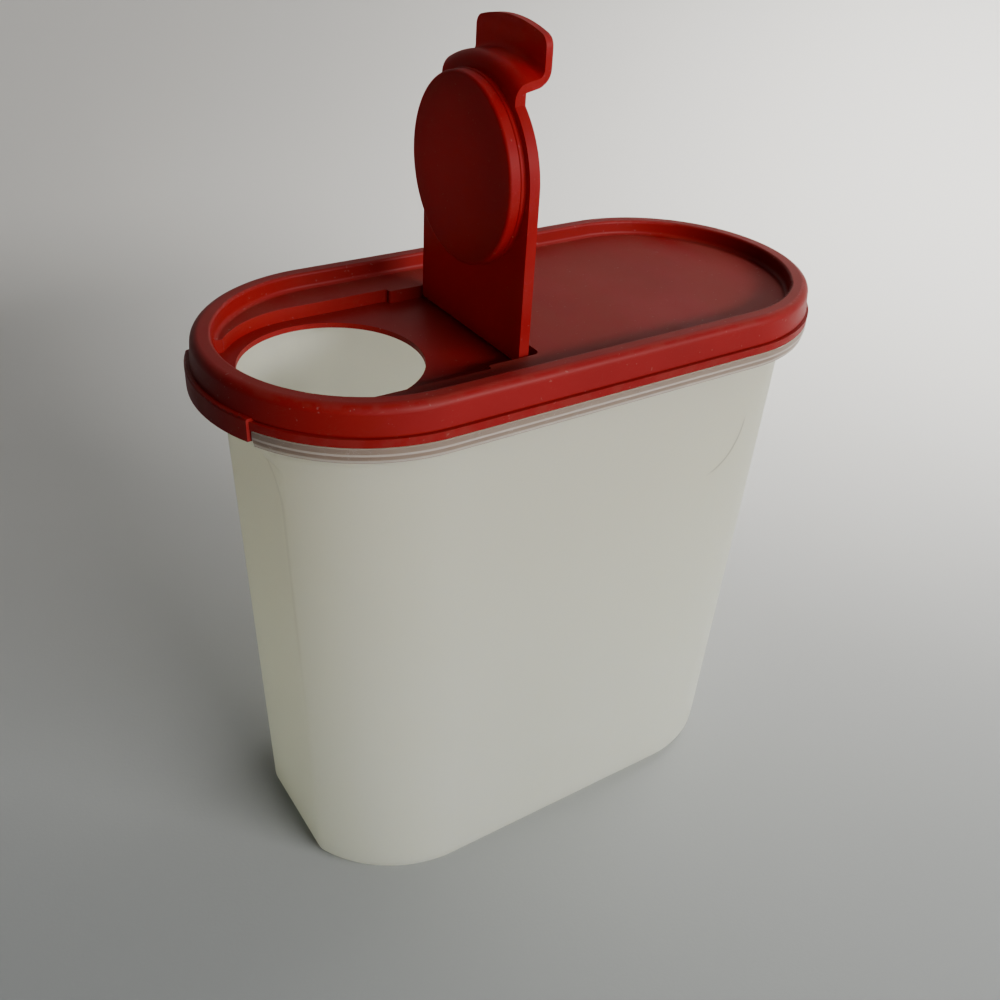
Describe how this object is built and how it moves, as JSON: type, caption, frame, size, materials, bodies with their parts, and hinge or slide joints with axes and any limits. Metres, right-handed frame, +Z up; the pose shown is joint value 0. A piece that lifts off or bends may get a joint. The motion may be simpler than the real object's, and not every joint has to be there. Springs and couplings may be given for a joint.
{
  "type": "food storage container",
  "caption": "Tall oval dry-food keeper with a translucent tapered body, a press-on lid and an upright flip cap over a round pour hole.",
  "frame": {"origin": "centre of the base, on the surface it stands on", "axes": "+Z up, +X along the length away from the pour end, +Y to the back"},
  "size_m": [0.1936, 0.0924, 0.2474],
  "materials": {
    "body_translucent": "milky translucent, fine satin",
    "lid_red": "semi-gloss, worn",
    "cap_red": "semi-gloss, worn"
  },
  "bodies": {
    "tub": {"container": "body_translucent"},
    "lid": {"lid": "lid_red"},
    "cap": {"pour_cap": "cap_red"}
  },
  "joints": [
    {"name": "lid_lift", "type": "slide", "parent": "tub", "child": "lid", "axis": [0, 0, 1], "range_m": [0, 0.04]},
    {"name": "cap_hinge", "type": "hinge", "parent": "lid", "child": "cap", "pos_m": [-0.0167, 0, 0.1677], "axis": [0, 1, 0], "range_deg": [-90, 48]}
  ]
}
